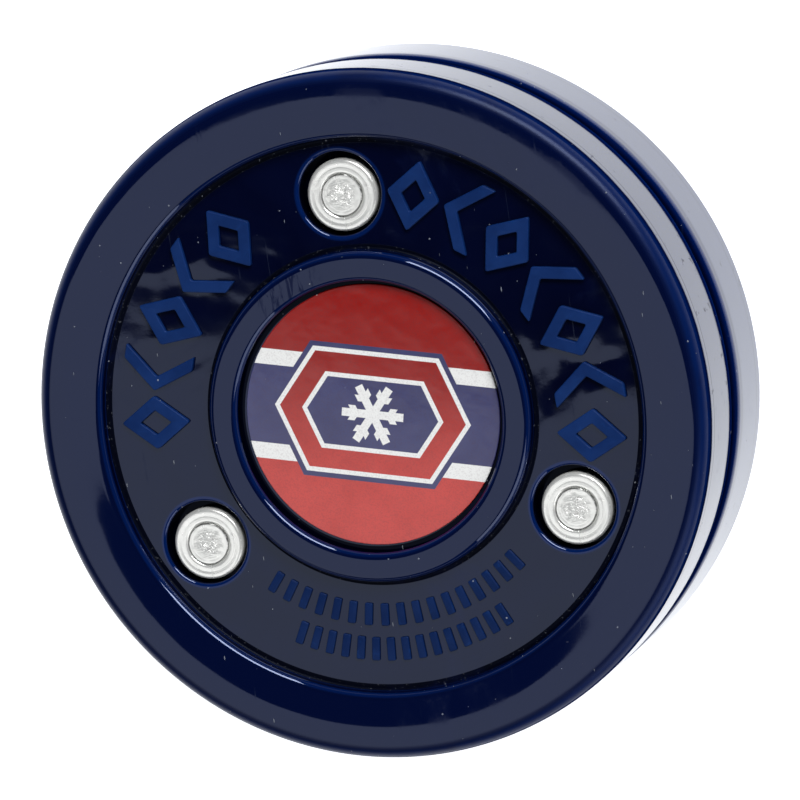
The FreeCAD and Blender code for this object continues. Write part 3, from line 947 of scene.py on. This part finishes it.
def make_camera():
    """The camera at the angle of the reference view."""
    tilt, azimuth = math.radians(VIEW_TILT), math.radians(VIEW_AZIMUTH)
    back = Vector((math.sin(tilt) * math.cos(azimuth), math.sin(tilt) * math.sin(azimuth), math.cos(tilt)))
    lean = Vector((math.cos(tilt) * math.cos(azimuth), math.cos(tilt) * math.sin(azimuth), -math.sin(tilt)))
    across = back.cross(lean)
    turn = math.radians(IMAGE_LEAN)
    right = lean * math.cos(turn) - across * math.sin(turn)
    up = lean * math.sin(turn) + across * math.cos(turn)
    place = Vector((0, 0, PUCK_TOP)) + back * VIEW_DISTANCE + right * AIM_RIGHT + up * AIM_UP
    data = bpy.data.cameras.new("camera")
    data.lens = data.sensor_width * VIEW_DISTANCE / FRAME_WIDTH
    data.dof.use_dof = False
    data.clip_start = 0.01
    camera = link(bpy.data.objects.new("camera", data))
    turned = Matrix((right, up, back)).transposed().to_4x4()
    camera.matrix_world = Matrix.Translation(place) @ turned
    bpy.context.scene.camera = camera


def polar(azimuth, tilt, distance):
    """A point seen from the puck at an azimuth and a tilt off the vertical, in degrees."""
    azimuth, tilt = math.radians(azimuth), math.radians(tilt)
    flat = math.sin(tilt)
    return Vector((flat * math.cos(azimuth), flat * math.sin(azimuth), math.cos(tilt))) * distance


def area_light(name, place, width, height, radiance, up=(0, 0, 1)):
    """A soft panel that faces the puck, its height running towards the direction up."""
    data = bpy.data.lights.new(name, "AREA")
    data.shape = "RECTANGLE"
    data.size = width
    data.size_y = height
    data.energy = radiance * math.pi * width * height
    light = link(bpy.data.objects.new(name, data))
    back = place.normalized()
    upward = (Vector(up) - back * back.dot(up)).normalized()
    facing = Matrix((upward.cross(back), upward, back)).transposed().to_4x4()
    light.matrix_world = Matrix.Translation(place) @ facing
    return light


def make_floor():
    """A plain pale table, lit a little from below."""
    bm = bmesh.new()
    corners = [bm.verts.new((x * 6.0, y * 6.0, 0.0)) for x, y in ((-1, -1), (1, -1), (1, 1), (-1, 1))]
    bm.faces.new(corners)
    mesh = bpy.data.meshes.new("floor")
    bm.to_mesh(mesh)
    bm.free()
    floor = link(bpy.data.objects.new("floor", mesh))
    floor.location.z = cad_box[0].z - 0.05 * MM
    g = Graph("pale_table")
    cloud = g.noise(g.place(), 3.0, 3.0)
    g.set(
        Base_Color=g.blend(cloud, (0.80, 0.81, 0.83), (0.84, 0.85, 0.86)),
        Roughness=cloud * 0.2 + 0.6,
        Emission_Color=(0.95, 0.97, 1.0, 1.0),
        Emission_Strength=0.9,
    )
    mesh.materials.append(g.material)
    return floor


def make_world():
    """A dark room above, pale near the horizon."""
    world = bpy.data.worlds.new("studio")
    bpy.context.scene.world = world
    world.use_nodes = True
    nodes, links = world.node_tree.nodes, world.node_tree.links
    source = nodes.new("ShaderNodeTexCoord")
    parts = nodes.new("ShaderNodeSeparateXYZ")
    level = nodes.new("ShaderNodeMapRange")
    level.inputs["From Min"].default_value = 0.06
    level.inputs["From Max"].default_value = 0.2
    mix = nodes.new("ShaderNodeMix")
    mix.data_type = "RGBA"
    mix.inputs[6].default_value = (0.85, 0.87, 0.9, 1)
    mix.inputs[7].default_value = (0.022, 0.026, 0.036, 1)
    links.new(source.outputs["Generated"], parts.inputs[0])
    links.new(parts.outputs[2], level.inputs["Value"])
    links.new(level.outputs[0], mix.inputs[0])
    links.new(mix.outputs[2], nodes["Background"].inputs[0])


def make_studio():
    """Three soft panels over a pale table."""
    make_world()
    panel = area_light("top_panel", polar(230.6, 35.8, 1.6), 1.4, 1.4, 1.02, polar(72, 90, 1))
    key = area_light("key", polar(60, 52, 1.6), 1.1, 0.55, 16.0)
    fill = area_light("fill", polar(-55, 58, 1.7), 1.2, 1.0, 2.4)
    floor = make_floor()
    bpy.context.scene.view_settings.view_transform = "Standard"


# ---------------------------------------------------------------- putting it together
def finish_piece(obj, node, body):
    """Let a piece stand for a CAD node, which it hides, and ride on a body."""
    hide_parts(node)
    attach(obj, body)


def main():
    plastic = (gloss_navy(), frosted_navy())
    vinyl = printed_vinyl()
    rivet_steel = plated_steel("plated_steel_rivet", PEEN_RADIUS, 1.0)
    washer_steel = plated_steel("plated_steel_washer", TENON_RADIUS + 0.1 * MM, 0.0)

    for side, facing_down in (("front", False), ("rear", True)):
        shell = make_shell(side, facing_down, plastic)
        finish_piece(shell, side + "_half", side + "_body")
        label = make_label(side + "_label_print", side + "_label", vinyl)
        finish_piece(label, side + "_label", side + "_body")
    for number in (1, 2, 3):
        body = f"rivet_{number}_body"
        rivet = make_rivet(f"rivet_{number}_turned", f"rivet_{number}", 7.3 * number, rivet_steel)
        finish_piece(rivet, f"rivet_{number}", body)
        washer = make_washer(f"washer_{number}_pressed", f"washer_{number}", washer_steel)
        finish_piece(washer, f"washer_{number}", body)
    make_camera()
    make_studio()


main()
